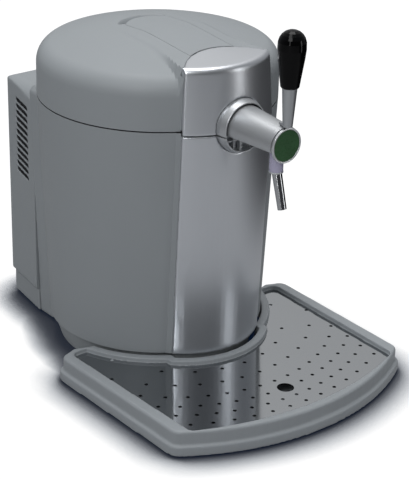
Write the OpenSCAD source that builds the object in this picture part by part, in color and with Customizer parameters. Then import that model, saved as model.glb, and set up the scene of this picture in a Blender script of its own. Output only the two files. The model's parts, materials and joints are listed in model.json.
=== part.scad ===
// Counter-top cooler and tap for one small round keg.
// The front is at -Y, up is +Z, and the feet stand on z = 0.

/* [Body] */
// Radius of the round body at the lid seam
body_r = 137; // [120:1:160]
// Radius lost by the body from the seam down to its lower edge
body_taper = 10.7; // [4:0.1:16]
// Height of the lid seam above the table
seam_z = 302; // [280:1:360]
// Height of the lower edge of the body shell
skirt_z = 32; // [28:1:40]
// Wall of the moulded shells
wall = 3; // [2:0.1:4]
// Height of the foot of the base above the table
foot_gap = 3; // [2:0.5:6]

/* [Front panel] */
// Distance from the keg axis to the front of the panel at the seam
panel_front = 150; // [145:1:170]
// Plan radius of the curved panel at the seam
panel_r = 97.4; // [90:0.1:110]
// Radius lost by the panel from the seam to its lower edge
panel_taper = 8.5; // [4:0.1:12]
// Half the width of the silver panel
panel_half = 62; // [50:1:70]
// Thickness of the silver panel
panel_t = 2.2; // [1.5:0.1:3]

/* [Lid] */
// Height of the upright side of the lid
lid_side = 37; // [25:1:50]
// Radius of the rounded edge of the lid
lid_edge_r = 24; // [12:1:30]
// Radius of the dome on top of the lid
dome_r = 400; // [300:5:600]
// Half the width of the raised tongue at its top edges
tongue_half = 46; // [40:1:52]

/* [Tap] */
// Height of the tap axis above the seam
tap_up = 2.2; // [0:0.1:6]
// Radius of the half round tap barrel at the collar
barrel_r = 24.5; // [22:0.1:27]
// Radius of the disc that ends the barrel
cap_r = 19.3; // [17:0.1:20]
// Distance from the collar face to the front of the disc
barrel_len = 66; // [55:1:80]
// Outer radius of the collar at the panel
collar_r = 30.4; // [29:0.1:34]
// Outer diameter of the spout tube at its top
spout_d = 11; // [9:0.1:12]
// Length of the spout tube
spout_len = 40.4; // [30:0.1:45]
// Tilt of the spout tube away from the panel, in degrees
spout_tilt = 16; // [0:1:25]

/* [Lever] */
// Height of the lever from its pivot to the top of the knob
lever_len = 114; // [90:1:130]
// Widest diameter of the knob
knob_d = 30.3; // [24:0.1:34]
// Forward lean of the lever at rest, in degrees
lever_lean = 0.8; // [0:0.1:4]
// Diameter of the pin the lever turns on
lever_pin_d = 3; // [2.5:0.1:4]

/* [Drip tray] */
// Height of the tray rim above the table
rim_z = 30.3; // [26:0.1:31]
// Half the width of the tray at its rear corners
tray_half = 169.5; // [150:0.5:190]
// Distance from the keg axis to the front of the tray
tray_front = 301; // [280:1:330]
// Plan radius of the front edge of the tray
tray_arc_r = 294; // [250:1:400]
// Radius of the drain holes in the grid
hole_r = 2.2; // [1.5:0.1:3]
// Radius of the finger hole in the grid
finger_r = 9.5; // [8:0.1:12]

/* [Rear box] */
// Distance from the keg axis to the back of the rear box
rear_y = 186; // [175:1:210]
// Half the width of the rear box where its cover begins
rear_half = 99.2; // [85:0.1:105]
// Number of side air slots
louvre_count = 12; // [6:1:14]
// Spacing of the air slots
louvre_pitch = 8; // [6:0.1:9]
// Radius of the fan blades
fan_r = 35.5; // [28:0.1:36]

/* [Keg chamber] */
// Inner radius of the chamber that takes the keg
chamber_r = 89; // [86:0.5:92]
// Height of the chamber floor above the table
chamber_z = 40; // [38:1:46]

/* [Fits] */
// Radial clearance of a pin in the part that turns on it
run_gap = 0.05; // [0.03:0.01:0.08]
// Gap between bodies that move past each other
move_gap = 0.4; // [0.3:0.05:0.8]
// Gap between parts of one body that lie face to face
seat_gap = 0.2; // [0.1:0.05:0.3]

/* [Hidden] */
fn_big = 120;
fn_mid = 48;
fn_small = 28;
far = 400;
over = 1;

// The whole model is shifted so that its outline is centred on Y.
axis_y = (tray_front - rear_y) / 2;

grey = [0.55, 0.56, 0.57];
silver = [0.76, 0.77, 0.79];
dark = [0.12, 0.12, 0.13];
black = [0.03, 0.03, 0.03];
steel = [0.78, 0.79, 0.8];
foam = [0.9, 0.88, 0.8];
lilac = [0.72, 0.68, 0.86, 0.8];
green = [0.1, 0.36, 0.2];
board = [0.08, 0.3, 0.16];
line_blue = [0.75, 0.82, 0.88];

// Seam levels: the lid sits a thin dark gap above the body.
seam_half = 0.7;
shell_top = seam_z - seam_half;
lid_low = seam_z + seam_half;
panel_drop = 4;
panel_top = seam_z - panel_drop - seam_half;
cap_low = seam_z - panel_drop + seam_half;
pod_y = panel_r - panel_front;
trim_t = 4.7;
trim_top = seam_z - 2;
flange_t = 2.5;
shoulder = 4;
pod_back = panel_t + seat_gap;

function body_rad(z) = body_r - body_taper * (seam_z - z) / (seam_z - skirt_z);
function pod_rad(z) = panel_r - panel_taper * (seam_z - z) / (seam_z - skirt_z);
function arc(cx, cy, r, a0, a1, n) =
    [for (i = [0:n]) [cx + r * cos(a0 + (a1 - a0) * i / n), cy + r * sin(a0 + (a1 - a0) * i / n)]];
function flip(p) = [for (i = [len(p) - 1:-1:0]) [-p[i][0], p[i][1]]];

module at_axis() {
    translate([0, axis_y, 0]) children();
}

module bar(x0, x1, y0, y1, z0, z1) {
    translate([x0, y0, z0]) cube([x1 - x0, y1 - y0, z1 - z0]);
}

module rod_z(x, y, r, z0, z1, fn = fn_small) {
    translate([x, y, z0]) cylinder(h = z1 - z0, r = r, $fn = fn);
}

module rod_x(y, z, r, x0, x1, fn = fn_small) {
    translate([x0, y, z]) rotate([0, 90, 0]) cylinder(h = x1 - x0, r = r, $fn = fn);
}

// A cone along Y, given by its radii at y0 and y1, with y0 smaller than y1.
module rod_y(x, z, y0, y1, r0, r1, fn = fn_mid) {
    translate([x, y1, z]) rotate([90, 0, 0]) cylinder(h = y1 - y0, r1 = r1, r2 = r0, $fn = fn);
}

module prism_z(points, z0, z1) {
    translate([0, 0, z0]) linear_extrude(height = z1 - z0) polygon(points);
}

module prism_x(points, x0, x1) {
    translate([x0, 0, 0]) rotate([90, 0, 90]) linear_extrude(height = x1 - x0) polygon(points);
}

module prism_y(points, y0, y1) {
    translate([0, y1, 0]) rotate([90, 0, 0]) linear_extrude(height = y1 - y0) polygon(points);
}

// ---------- body shell, panel and base ----------

module round_body(off, z0, z1) {
    translate([0, 0, z0])
        cylinder(h = z1 - z0, r1 = body_rad(z0) + off, r2 = body_rad(z1) + off, $fn = fn_big);
}

module pod_cone(off, z0, z1) {
    translate([0, pod_y, z0])
        cylinder(h = z1 - z0, r1 = pod_rad(z0) + off, r2 = pod_rad(z1) + off, $fn = fn_big);
}

module pod_body(off, half, z0, z1) {
    intersection() {
        pod_cone(off, z0, z1);
        bar(-half, half, -far, -body_r / 2, z0, z1);
    }
}

tap_z = seam_z + tap_up;
collar_hole_r = collar_r + seat_gap;
window_half = 50;
window_z0 = 95;
window_z1 = 205;

module body_shell() {
    color(grey) at_axis() difference() {
        union() {
            round_body(0, skirt_z, shell_top);
            pod_body(-pod_back, panel_half + shoulder, skirt_z, shell_top);
        }
        union() {
            round_body(-wall, skirt_z + flange_t, shell_top + over);
            intersection() {
                pod_cone(-pod_back - wall, skirt_z + flange_t, shell_top + over);
                bar(-panel_half, panel_half, -far, 0, skirt_z + flange_t, shell_top + over);
            }
        }
        rod_z(0, 0, chamber_r, skirt_z - over, skirt_z + wall * 2, fn_big);
        bar(-panel_half - seat_gap, panel_half + seat_gap, -far, -body_r * 0.6, panel_top, shell_top + over);
        bar(-window_half, window_half, body_r * 0.7, far, window_z0, window_z1);
        rod_y(0, tap_z, -far, -body_r * 0.8, collar_r + over, collar_r + over);
    }
}

module front_panel() {
    color(silver) at_axis() difference() {
        pod_body(0, panel_half, skirt_z, panel_top);
        pod_cone(-panel_t, skirt_z - over, panel_top + over);
        rod_y(0, tap_z, -far, -body_r * 0.8, collar_hole_r, collar_hole_r);
    }
}

foot_top_r = body_rad(skirt_z) - 3.3;
foot_low_r = foot_top_r - 9;
tongue_x = 40;
tongue_w = 9;
tongue_z0 = 7;
tongue_z1 = 11;

// The foot follows the round body and the panel, and leans in towards the table.
module foot_solid(off) {
    translate([0, 0, foot_gap])
        cylinder(h = skirt_z - foot_gap, r1 = foot_low_r - off, r2 = foot_top_r - off, $fn = fn_big);
    intersection() {
        translate([0, pod_y, foot_gap])
            cylinder(h = skirt_z - foot_gap,
                r1 = pod_rad(skirt_z) - 12 - off, r2 = pod_rad(skirt_z) - 3 - off,
                $fn = fn_big);
        bar(-panel_half + 5 + off, panel_half - 5 - off, -far, 0, foot_gap, skirt_z);
    }
}

module base_foot() {
    color(dark) at_axis() difference() {
        foot_solid(0);
        translate([0, 0, wall]) foot_solid(wall);
        for (a = [45:90:315])
            rotate([0, 0, a])
                rod_z(pad_ring_r, 0, pad_stem_r + seat_gap, 0, far);
        for (s = [-1, 1])
            translate([s * tongue_x, 0, 0])
                bar(-tongue_w - move_gap, tongue_w + move_gap, -far, -body_r / 2,
                    tongue_z0 - move_gap, tongue_z1 + move_gap);
    }
}

pad_ring_r = 84;
pad_r = 9;
pad_stem_r = 4;

module rubber_feet() {
    color(black) at_axis() for (a = [45:90:315])
        rotate([0, 0, a]) {
            rod_z(pad_ring_r, 0, pad_r, 0, foot_gap);
            rod_z(pad_ring_r, 0, pad_stem_r, foot_gap, foot_gap + wall + 2);
        }
}

module base_plate() {
    color(steel) at_axis() difference() {
        rod_z(0, 0, foot_low_r - wall - 1, foot_gap + wall, foot_gap + wall + 1, fn_big);
        for (a = [45:90:315])
            rotate([0, 0, a])
                rod_z(pad_ring_r, 0, pad_stem_r + seat_gap, 0, far);
        for (s = [-1, 1])
            translate([s * tongue_x, 0, 0])
                bar(-tongue_w - 2, tongue_w + 2, -far, -body_r * 0.6, 0, far);
    }
}

liner_t = 1.5;
foam_low = skirt_z + flange_t + seat_gap;
foam_top = trim_top - trim_t - seat_gap;

module insulation() {
    color(foam) at_axis() difference() {
        round_body(-wall - 0.5, foam_low, foam_top);
        rod_z(0, 0, chamber_r + liner_t + seat_gap, chamber_z - liner_t - seat_gap, far, fn_big);
        bar(-30 - seat_gap, 30 + seat_gap, 60, far, cooler_z - 30 - seat_gap, cooler_z + 30 + seat_gap);
        bar(-40, 40, 117, far, cooler_z - 40, cooler_z + 40);
    }
}

module keg_liner() {
    color(steel) at_axis() difference() {
        rod_z(0, 0, chamber_r + liner_t, chamber_z - liner_t, trim_top - trim_t, fn_big);
        rod_z(0, 0, chamber_r, chamber_z, far, fn_big);
    }
}

module keg_rest() {
    color(dark) at_axis() for (a = [30:60:330])
        rotate([0, 0, a]) bar(50, 80, -4, 4, chamber_z, chamber_z + 2);
}

module top_trim() {
    color(grey) at_axis() difference() {
        round_body(-wall - seat_gap, trim_top - trim_t, trim_top);
        rod_z(0, 0, chamber_r, 0, far, fn_big);
        bar(-panel_half - shoulder, panel_half + shoulder, -far, -body_r * 0.66, panel_top, far);
        rod_z(0, 0, seal_r + seal_w, trim_top - seal_deep, far, fn_big);
    }
}

seal_r = 93;
seal_w = 5;
seal_deep = 1.2;

module lid_seal() {
    color(black) at_axis() difference() {
        rod_z(0, 0, seal_r + seal_w - seat_gap, trim_top - seal_deep, trim_top + 1.6, fn_big);
        rod_z(0, 0, seal_r, 0, far, fn_big);
        bar(-panel_half - shoulder, panel_half + shoulder, -far, -body_r * 0.66, panel_top, far);
    }
}

// ---------- lid ----------

edge_z = seam_z + lid_side;
dome_c = edge_z - sqrt(pow(dome_r - lid_edge_r, 2) - pow(body_r - lid_edge_r, 2));
dome_a = asin((body_r - lid_edge_r) / (dome_r - lid_edge_r));
dome_top = dome_c + dome_r;

function lid_profile(off, low) = concat(
    [[0, low], [body_r - off, low]],
    arc(body_r - lid_edge_r, edge_z, lid_edge_r - off, 0, 90 - dome_a, 8),
    arc(0, dome_c, dome_r - off, 90 - dome_a + dome_a / 7, 90, 6));

tongue_z = dome_top + 0.8;
tongue_slope = 4;
tongue_flank = 60;

// The tongue is a crowned bar that leans down towards the front.
module tongue(drop, half, y0, y1) {
    crown = 2.1;
    translate([0, 0, tongue_z - drop]) rotate([tongue_slope, 0, 0])
        prism_y([
            [-half - tongue_flank, -far / 2], [-half - tongue_flank, -tongue_flank],
            [-half, 0 - crown], [-half * 0.7, -crown * 0.49], [-half * 0.35, -crown * 0.12], [0, 0],
            [half * 0.35, -crown * 0.12], [half * 0.7, -crown * 0.49], [half, 0 - crown],
            [half + tongue_flank, -tongue_flank], [half + tongue_flank, -far / 2]], y0, y1);
}

module lid_solid(off, low) {
    rotate_extrude($fn = fn_big) polygon(lid_profile(off, low));
    intersection() {
        tongue(off, tongue_half - off / 2, -body_r, 20);
        rod_z(0, 0, body_r - off, edge_z, far * 2, fn_big);
    }
}

seat_r = 66.5;
seat_y = -157;
side_y = -117;
pod_step = 23;
top_half = 57.5;
recess_in = 36;
recess_out = 46;
recess_half = 50;
flap_half = 29.5;
flap_gap = 0.5;
flap_t = 3;
flap_y = -84;
flap_z = dome_top - 7.4;
flap_pin_r = 0.8;
flap_rise = 0.8;
lid_t = 3.5;

// The part of the lid that the silver cap takes, grown by a gap.
module cap_seat(grow, z0) {
    intersection() {
        union() {
            rod_z(0, seat_y, seat_r + grow, z0, far * 2, fn_big);
            bar(-far, far, -far, side_y + grow, z0, far * 2);
        }
        prism_y([[-panel_half - grow, cap_low], [panel_half + grow, cap_low],
            [top_half + grow, dome_top], [-top_half - grow, dome_top]], -far, 0);
    }
}

module flap_plan(grow, z0, z1) {
    difference() {
        intersection() {
            rod_z(0, 0, recess_in + grow, z0, z1, fn_mid);
            bar(-flap_half - grow, flap_half + grow, -far, far, z0, z1);
        }
        bar(-far, far, -far, 0, z0 - over, z1 + over);
    }
    difference() {
        bar(-flap_half - grow, flap_half + grow, seat_y + seat_r * 0.7, 0, z0, z1);
        rod_z(0, seat_y, seat_r + 1.1 - 3 * grow, z0 - over, z1 + over, fn_big);
    }
}

module recess_plan(grow, z0, z1) {
    intersection() {
        difference() {
            rod_z(0, 0, recess_out + grow, z0, z1, fn_mid);
            rod_z(0, 0, recess_in - over, z0 - over, z1 + over, fn_mid);
        }
        prism_z([[0, 0], [far * sin(recess_half), far * cos(recess_half)],
            [-far * sin(recess_half), far * cos(recess_half)]], z0, z1);
    }
}

module lid_shell() {
    color(grey) at_axis() difference() {
        lid_solid(0, lid_low);
        difference() {
            lid_solid(lid_t, lid_low - over);
            for (s = [-1, 1])
                bar(min(s * (flap_half + flap_gap), s * 33), max(s * (flap_half + flap_gap), s * 33),
                    flap_y - 5, flap_y + 5, flap_z - 4, far);
        }
        cap_seat(seat_gap, lid_low - over);
        flap_plan(flap_gap, dome_top - 60, far * 2);
        recess_plan(0, dome_top - 60, far * 2);
        rod_x(flap_y, flap_z, flap_pin_r + run_gap, -32, 32);
    }
}

well_z = dome_top - 24;
well_t = 2;

module flap_well() {
    color(dark) at_axis() difference() {
        intersection() {
            union() {
                flap_plan(flap_gap + well_t, well_z, far);
                recess_plan(well_t, well_z, far);
            }
            lid_solid(lid_t + seat_gap, lid_low);
        }
        flap_plan(flap_gap, well_z + well_t, far);
        recess_plan(0, well_z + well_t, far);
        cap_seat(seat_gap, lid_low - over);
        for (s = [-1, 1])
            translate([s * (flap_half + 2), flap_y, 0]) bar(-4, 4, -7, 7, flap_z - 6, far);
    }
}

module access_flap() {
    color(grey) at_axis() difference() {
        intersection() {
            flap_plan(0, well_z, far * 2);
            translate([0, 0, flap_rise]) lid_solid(0, lid_low);
        }
        translate([0, 0, flap_rise - flap_t]) lid_solid(0, 0);
        rod_x(flap_y, flap_z, flap_pin_r, -32, 32);
    }
}

module flap_pin() {
    color(steel) at_axis() rod_x(flap_y, flap_z, flap_pin_r, -31.6, 31.6);
}

// The cap is turned round the axis of the panel: an upright front, a rounded edge and a sloping top.
module cap_solid(off) {
    top_z = dome_top - 9;
    rise = 3.6;
    round_r = 7;
    lean_r = pod_rad(seam_z) - 4.9;
    intersection() {
        translate([0, pod_y, 0]) rotate_extrude($fn = fn_big) polygon(concat(
            [[0, cap_low], [pod_rad(cap_low) - off, cap_low], [lean_r - off, top_z - round_r]],
            arc(lean_r - round_r, top_z - round_r, round_r - off, 12, 86, 6),
            [[lean_r - 55, top_z + rise - off], [0, top_z + rise - off]]));
        cap_seat(-off, cap_low);
    }
}

module lid_front_cap() {
    color(silver) at_axis() difference() {
        cap_solid(0);
        intersection() {
            cap_solid(2.5);
            bar(-far, far, -far, far, lid_low, far);
        }
        bar(-far, far, -panel_front + 2.5 + pod_step, 0, cap_low - over, lid_low + over);
        bar(-top_half + 2.5, top_half - 2.5, side_y - 5, 0, cap_low - over, well_z - 6);
        rod_y(0, tap_z, -far, -body_r * 0.8, collar_hole_r, collar_hole_r);
    }
}

cup_r = 78;
cup_z = seam_z + 30;

module lid_liner() {
    color(steel) at_axis() difference() {
        rotate_extrude($fn = fn_big) polygon([
            [12, cup_z - 2], [cup_r, cup_z - 2], [cup_r, lid_low + 0.1],
            [body_r - wall - 1, lid_low + 0.1], [body_r - wall - 1, lid_low + 2],
            [cup_r + 2, lid_low + 2], [cup_r + 2, cup_z], [12, cup_z]]);
        cap_seat(over, lid_low - over);
    }
}

module lid_insulation() {
    color(foam) at_axis() difference() {
        lid_solid(lid_t + 0.6, lid_low + 2.2);
        rod_z(0, 0, cup_r + 2.2, 0, cup_z + seat_gap, fn_big);
        rod_z(0, 0, far, well_z - seat_gap, far * 2, fn_small);
        cap_seat(over, lid_low - over);
        bar(-9, 9, -far, 9, 0, well_z - 2);
    }
}

line_r = 3;
line_z = cup_z + 9;
line_y = 17 - panel_front;

module keg_coupler() {
    color(dark) at_axis() difference() {
        union() {
            rod_z(0, 0, 11.8, cup_z - 14, cup_z);
            rod_z(0, 0, 20, cup_z - 6, cup_z - 2 - seat_gap);
            rod_z(0, 0, 6, cup_z - 22, cup_z - 14);
        }
        rod_z(0, 0, line_r + seat_gap, 0, far);
    }
}

module beer_line() {
    color(line_blue) at_axis() {
        rod_z(0, 0, line_r, cup_z - 20, line_z);
        translate([0, 0, line_z]) sphere(r = line_r, $fn = fn_small);
        rod_y(0, line_z, line_y, 0, line_r, line_r, fn_small);
        translate([0, line_y, line_z]) sphere(r = line_r, $fn = fn_small);
        rod_z(0, line_y, line_r, floor_top + 4, line_z);
        translate([0, line_y, floor_top + 4]) sphere(r = line_r, $fn = fn_small);
        rod_y(0, floor_top + 4, stem_y + 6, line_y, line_r, line_r, fn_small);
    }
}

// ---------- collar and tap ----------

face_y = -panel_front;
lip_y = face_y - 7;
lip_r = collar_r - 2.4;
ring_back = face_y + 9;
flange_back = ring_back + 2.5;
dish_y = face_y + 3;
dish_t = 2;
collar_in = collar_r - 3.8;
disc_front = face_y - barrel_len - 7;
disc_t = 3;
barrel_end = disc_front + disc_t + 0.5;
floor_top = seam_z - 0.5;
floor_t = 2;

module collar_ring(z0, z1) {
    intersection() {
        difference() {
            union() {
                rod_y(0, tap_z, lip_y, face_y, lip_r, collar_r);
                rod_y(0, tap_z, face_y, ring_back, collar_r, collar_r);
            }
            rod_y(0, tap_z, -far, 0, collar_in, collar_in);
        }
        bar(-far, far, -far, 0, z0, z1);
    }
}

module collar_upper() {
    color(silver) at_axis() collar_ring(cap_low, far * 2);
}

module collar_lower() {
    color(silver) at_axis() {
        collar_ring(0, panel_top);
        intersection() {
            rod_y(0, tap_z, dish_y, dish_y + dish_t, collar_r - over, collar_r - over);
            bar(-far, far, -far, 0, 0, panel_top);
        }
    }
}

module collar_ribs() {
    color(silver) at_axis() difference() {
        union() {
            for (x = [-13, -4, 9])
                bar(x - 0.7, x + 0.7, face_y - 3, dish_y - seat_gap, tap_z - collar_in, panel_top - 1);
            bar(-22, 22, face_y - 1, dish_y - seat_gap, tap_z - 14.8, tap_z - 13.2);
        }
        difference() {
            rod_y(0, tap_z, -far, 0, far / 2, far / 2);
            rod_y(0, tap_z, -far, 0, collar_in - seat_gap, collar_in - seat_gap);
        }
    }
}

function barrel_rad(y) = barrel_r + (cap_r + 0.6 - barrel_r) * (lip_y - 2 - y) / (lip_y - 2 - barrel_end);

lever_y = face_y - 65;
lever_z = tap_z + 10.8;
slot_half = 2.4;

module tap_barrel() {
    color(silver) at_axis() difference() {
        union() {
            intersection() {
                rod_y(0, tap_z, barrel_end, ring_back, barrel_rad(barrel_end), barrel_rad(ring_back));
                bar(-far, far, -far, 0, floor_top, far);
            }
            intersection() {
                rod_y(0, tap_z, ring_back, flange_back, collar_r, collar_r);
                bar(-far, far, -far, 0, lid_low, far);
            }
        }
        rod_y(0, tap_z, barrel_end - over, flange_back + over,
            barrel_rad(barrel_end) - 2.5, barrel_rad(flange_back) - 2.5);
        bar(-slot_half, slot_half, -far, lever_y + 2.4, tap_z, far);
    }
}

stem_y = lever_y + 7.5;
conn_r = 7.5;
conn_low = seam_z - 30;
stem_r = 2;

module barrel_floor() {
    half = barrel_rad(barrel_end) - 1;
    color(silver) at_axis() difference() {
        prism_z([[-half, barrel_end], [half, barrel_end],
            [barrel_rad(ring_back) - 1, ring_back + 2], [1 - barrel_rad(ring_back), ring_back + 2]],
            floor_top - floor_t, floor_top);
        rod_z(0, stem_y, stem_r + move_gap, 0, far);
    }
}

module cap_ring() {
    color(silver) at_axis() difference() {
        rod_y(0, tap_z, disc_front, disc_front + disc_t, cap_r, cap_r);
        rod_y(0, tap_z, disc_front - over, disc_front + 2, cap_r - 2, cap_r - 2);
    }
}

module cap_disc() {
    color(green) at_axis()
        rod_y(0, tap_z, disc_front + 0.6, disc_front + 2, cap_r - 2 - seat_gap, cap_r - 2 - seat_gap);
}

module lever_bracket() {
    lug_x = 5.4;
    lug_t = 2.6;
    color(dark) at_axis() difference() {
        union() {
            for (s = [-1, 1]) {
                bar(min(s * lug_x, s * (lug_x + lug_t)), max(s * lug_x, s * (lug_x + lug_t)),
                    lever_y - 4, lever_y + 4, floor_top, lever_z);
                rod_x(lever_y, lever_z, 4,
                    min(s * lug_x, s * (lug_x + lug_t)), max(s * lug_x, s * (lug_x + lug_t)));
                bar(min(s * lug_x, s * (lug_x + lug_t)), max(s * lug_x, s * (lug_x + lug_t)),
                    barrel_end - 0.5, lever_y, floor_top, floor_top + 3);
            }
            bar(-lug_x - lug_t, lug_x + lug_t, barrel_end - 0.5, barrel_end + 0.9, tap_z - 12, floor_top + 3);
        }
        rod_x(lever_y, lever_z, lever_pin_d / 2 + run_gap, -far, far);
        bar(-far, far, barrel_end - 0.4, far, 0, floor_top - 0.05);
    }
}

module spout_connector() {
    color(lilac) at_axis() difference() {
        rod_z(0, stem_y, conn_r, conn_low, floor_top - floor_t, fn_mid);
        rod_z(0, stem_y, 4, 0, far);
    }
}

module spout_ring() {
    color(steel) at_axis() difference() {
        rod_z(0, stem_y, conn_r + 0.3, conn_low - 1.6, conn_low, fn_mid);
        rod_z(0, stem_y, 4, 0, far);
    }
}

module spout_place() {
    translate([0, stem_y - 1.2, conn_low - 1.5]) rotate([-spout_tilt, 0, 0]) rotate([180, 0, 0]) children();
}

module spout_tube() {
    color(steel) at_axis() difference() {
        spout_place() translate([0, 0, -3])
            cylinder(h = spout_len + 3, r1 = spout_d / 2, r2 = spout_d / 2 - 0.65, $fn = fn_mid);
        spout_place() translate([0, 0, -9]) cylinder(h = spout_len + 20, r = spout_d / 2 - 2, $fn = fn_small);
        bar(-far, far, -far, 0, conn_low - 1.6, far);
    }
}

stem_top = floor_top + 10;

module valve_stem() {
    color(steel) at_axis() {
        rod_z(0, stem_y, stem_r, conn_low + 6, stem_top);
        rod_z(0, stem_y, 3.6, stem_top - 2, stem_top);
        rod_z(0, stem_y, 3.4, conn_low + 6, conn_low + 16);
    }
}

// ---------- lever ----------

// The grip stands in front of the pivot, so that it lines up with the disc.
grip_out = 7;

module lever_frame() {
    translate([0, lever_y - grip_out, lever_z]) rotate([lever_lean, 0, 0]) children();
}

ferrule_low = 10.6;
ferrule_top = 53;
hub_r = 4;
stud_r = 1.8;

module lever_stem() {
    prong_top = stem_top - 2 - lever_z - 0.9;
    color(steel) at_axis() difference() {
        union() {
            rod_x(lever_y, lever_z, hub_r, -5, 5);
            rod_z(0, lever_y, stud_r, lever_z, lever_z + ferrule_low + 2);
            bar(-3.4, 3.4, lever_y - grip_out, lever_y + 2.4,
                lever_z + ferrule_low, lever_z + ferrule_low + 2.6);
            lever_frame() translate([0, 0, ferrule_low])
                cylinder(h = ferrule_top - ferrule_low, r1 = 5.3, r2 = 8, $fn = fn_mid);
            for (s = [-1, 1])
                translate([s * 3.9, lever_y, lever_z]) {
                    bar(-1, 1, -1.6, 1.6, prong_top - 2.2, 0);
                    bar(-1, 1, 0, 8.6, prong_top - 2.2, prong_top);
                }
        }
        rod_x(lever_y, lever_z, lever_pin_d / 2, -far, far);
    }
}

module lever_pin() {
    color(steel) at_axis() rod_x(lever_y, lever_z, lever_pin_d / 2, -8, 8);
}

module lever_knob() {
    k = knob_d / 2;
    h = lever_len - ferrule_top;
    color(black) at_axis() lever_frame() translate([0, 0, ferrule_top]) rotate_extrude($fn = fn_mid)
        polygon(concat(
            [[0, 0], [k * 0.6, 0], [k * 0.65, 1], [k * 0.78, h * 0.25], [k * 0.92, h * 0.5], [k * 0.99, h * 0.67]],
            [[k * 0.97, h - k * 0.83], [k * 0.88, h - k * 0.55], [k * 0.74, h - k * 0.33],
            [k * 0.55, h - k * 0.16], [k * 0.32, h - k * 0.05], [0, h]]));
}

// ---------- rear box ----------

frame_y = 108.4;
cover_top = seam_z - 13;
cover_low = 5;
cover_t = 2.6;
half_lean = 0.034;
cooler_z = 150;

function frame_poly(off) = [
    [-rear_half + half_lean * (seam_z / 2 - cover_low) + off, cover_low + off],
    [rear_half - half_lean * (seam_z / 2 - cover_low) - off, cover_low + off],
    [rear_half + half_lean * (seam_z / 2 - 4) - off, seam_z - 10 - off],
    [rear_half + half_lean * (seam_z / 2 - 4) - off - 6, seam_z - 4 - off],
    [-rear_half - half_lean * (seam_z / 2 - 4) + off + 6, seam_z - 4 - off],
    [-rear_half - half_lean * (seam_z / 2 - 4) + off, seam_z - 10 - off]];

module rear_frame() {
    color(grey) at_axis() difference() {
        prism_y(frame_poly(0), 50, frame_y);
        prism_y(frame_poly(wall), 40, frame_y - wall);
        bar(-rear_half + 16, rear_half - 16, frame_y - 9, far, 30, cover_top - 22);
        round_body(seat_gap, skirt_z - over, seam_z + over);
        rod_z(0, 0, foot_top_r + seat_gap, 0, skirt_z, fn_big);
    }
}

band_z = 35;
band_in = 3.5;
cover_r = 14;
side_top_r = 22;
inner_y = rear_y - cover_t - 0.1;

function cover_plan(off) = concat(
    [[rear_half - off, frame_y], [rear_half - 9.4 - off, rear_y - 12]],
    arc(rear_half - 9.4 - 11, rear_y - 11, 11 - off, 0, 90, 6));

// The cover is the overlap of its plan, its side outline and its front outline.
module cover_solid(off) {
    intersection() {
        prism_z(concat(cover_plan(off), flip(cover_plan(off))), band_z - off, cover_top - off);
        prism_x(concat(
            [[frame_y - over, 0], [rear_y - off, 0]],
            arc(rear_y - cover_r, cover_top - cover_r, cover_r - off, 0, 90, 6),
            [[frame_y - over, cover_top - off]]),
            -far, far);
        prism_y(concat(
            [[-rear_half - over, 0], [rear_half + over, 0]],
            arc(rear_half + over - side_top_r, cover_top - side_top_r, side_top_r - off, 0, 90, 8),
            arc(-rear_half - over + side_top_r, cover_top - side_top_r, side_top_r - off, 90, 180, 8)),
            0, far);
    }
}

module cover_band(off) {
    prism_z(concat(cover_plan(off), flip(cover_plan(off))), cover_low + off - band_in, band_z + 4);
}

louvre_z = 175;
louvre_h = 5;
louvre_y0 = 126;
louvre_y1 = 158;
louvre_drop = 4;
grille_half = 34;
inlet_x = -46;
inlet_z = 56;
switch_x = 0;

module rear_cover() {
    color(grey) at_axis() difference() {
        union() {
            cover_solid(0);
            cover_band(band_in);
        }
        difference() {
            union() {
                cover_solid(cover_t);
                cover_band(band_in + cover_t);
            }
            bar(-far, far, frame_y - over, frame_y + 2, 0, far);
        }
        bar(-rear_half + 16, rear_half - 16, frame_y - over, frame_y + 3, 30, cover_top - 22);
        round_body(seat_gap, skirt_z - over, seam_z + over);
        rod_z(0, 0, foot_top_r + seat_gap, 0, skirt_z, fn_big);
        for (i = [0:louvre_count - 1])
            translate([0, 0, louvre_z + i * louvre_pitch])
                prism_x([[louvre_y0, -louvre_drop], [louvre_y1, 0], [louvre_y1, louvre_h],
                    [louvre_y0, louvre_h - louvre_drop]], -far, far);
        for (i = [0:louvre_count - 3])
            bar(-grille_half, grille_half, rear_y - 8, far,
                cooler_z - 38 + i * louvre_pitch, cooler_z - 38 + i * louvre_pitch + louvre_h);
        bar(inlet_x - 14.2, inlet_x + 14.2, rear_y - 8, far, inlet_z - 10.2, inlet_z + 10.2);
        bar(switch_x - 10.2, switch_x + 10.2, rear_y - 8, far, inlet_z - 7.2, inlet_z + 7.2);
    }
}

module side_filters() {
    color(dark) at_axis() intersection() {
        for (s = [-1, 1])
            bar(min(s * 78, s * far), max(s * 78, s * far), louvre_y0 - 3, louvre_y1 + 3,
                louvre_z - louvre_drop - 3, louvre_z + louvre_count * louvre_pitch);
        difference() {
            cover_solid(cover_t + seat_gap);
            cover_solid(cover_t + seat_gap + 1.6);
        }
    }
}

module cold_block() {
    color(steel) at_axis() difference() {
        bar(-30, 30, 62, 116, cooler_z - 30, cooler_z + 30);
        rod_z(0, 0, chamber_r + liner_t + seat_gap, 0, far, fn_big);
    }
}

module cooling_module() {
    color([0.9, 0.9, 0.88]) at_axis() bar(-20, 20, 116, 120, cooler_z - 20, cooler_z + 20);
}

module heat_sink() {
    color(steel) at_axis() {
        bar(-38, 38, 120, 126, cooler_z - 38, cooler_z + 38);
        for (i = [0:12])
            bar(-36.9 + i * 6, -35.1 + i * 6, 126, 150, cooler_z - 38, cooler_z + 38);
    }
}

fan_y = 150;
fan_t = 16;
shaft_r = 2.5;

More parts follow.
